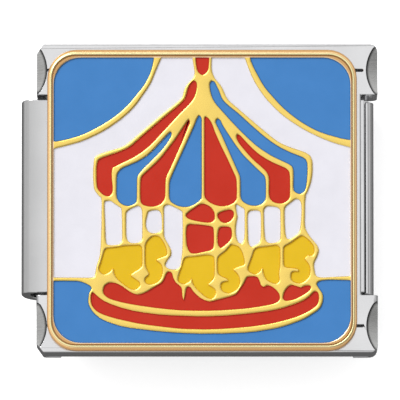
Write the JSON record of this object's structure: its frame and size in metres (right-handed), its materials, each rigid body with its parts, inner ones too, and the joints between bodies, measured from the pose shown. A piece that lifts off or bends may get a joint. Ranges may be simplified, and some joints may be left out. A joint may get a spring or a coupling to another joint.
{
  "type": "charm bracelet link",
  "caption": "Modular charm bracelet link: a spring-closed steel cover with four curled ears and an enamelled carousel plate, hinged on a folded lower shell.",
  "frame": {"origin": "middle of the flat bottom face of the lower shell, where the link rests, on the hinge plane across the band", "axes": "+X along the band, away from the shell's rounded end; +Y towards the top of the picture; +Z out of the picture's face"},
  "size_m": [0.0104, 0.009, 0.0033],
  "materials": {
    "polished_steel": "polished stainless steel",
    "spring_steel": "drawn spring wire, rolled flat",
    "gilt_metal": "gold-tone plating, struck and polished",
    "blue_enamel": "smooth soft enamel",
    "red_enamel": "smooth soft enamel",
    "white_enamel": "smooth soft enamel",
    "yellow_enamel": "smooth soft enamel"
  },
  "bodies": {
    "shell": {"lower_shell": "polished_steel", "spring_clip_front": "spring_steel", "spring_clip_back": "spring_steel"},
    "cover": {"cover": "polished_steel", "charm_plate": "gilt_metal", "enamel_sky_left": "blue_enamel", "enamel_sky_right": "blue_enamel", "enamel_drape_left": "white_enamel", "enamel_drape_right": "white_enamel", "enamel_ground": "blue_enamel", "enamel_finial": "red_enamel", "enamel_roof_1": "red_enamel", "enamel_roof_2": "blue_enamel", "enamel_roof_3": "red_enamel", "enamel_roof_4": "blue_enamel", "enamel_roof_5": "red_enamel", "enamel_roof_6": "blue_enamel", "enamel_roof_7": "red_enamel", "enamel_roof_8": "blue_enamel", "enamel_column_left": "red_enamel", "enamel_column_right": "red_enamel", "enamel_pedestal_left": "red_enamel", "enamel_pedestal_right": "red_enamel", "enamel_window_1": "white_enamel", "enamel_window_2": "white_enamel", "enamel_window_3": "white_enamel", "enamel_window_4": "white_enamel", "enamel_window_5": "white_enamel", "enamel_window_6": "white_enamel", "enamel_window_7": "white_enamel", "enamel_window_8": "white_enamel", "enamel_horse_1_back": "yellow_enamel", "enamel_horse_1_front": "yellow_enamel", "enamel_horse_2_back": "yellow_enamel", "enamel_horse_2_front": "yellow_enamel", "enamel_horse_3_back": "yellow_enamel", "enamel_horse_3_front": "yellow_enamel", "enamel_deck_left": "red_enamel", "enamel_deck_right": "red_enamel", "enamel_skirt": "red_enamel"}
  },
  "joints": [
    {"name": "cover_hinge", "type": "hinge", "parent": "shell", "child": "cover", "pos_m": [-0.00442, 0, 0.0017], "axis": [0, -1, 0], "range_deg": [0, 15], "stiffness_Nm_per_rad": 0.002}
  ]
}
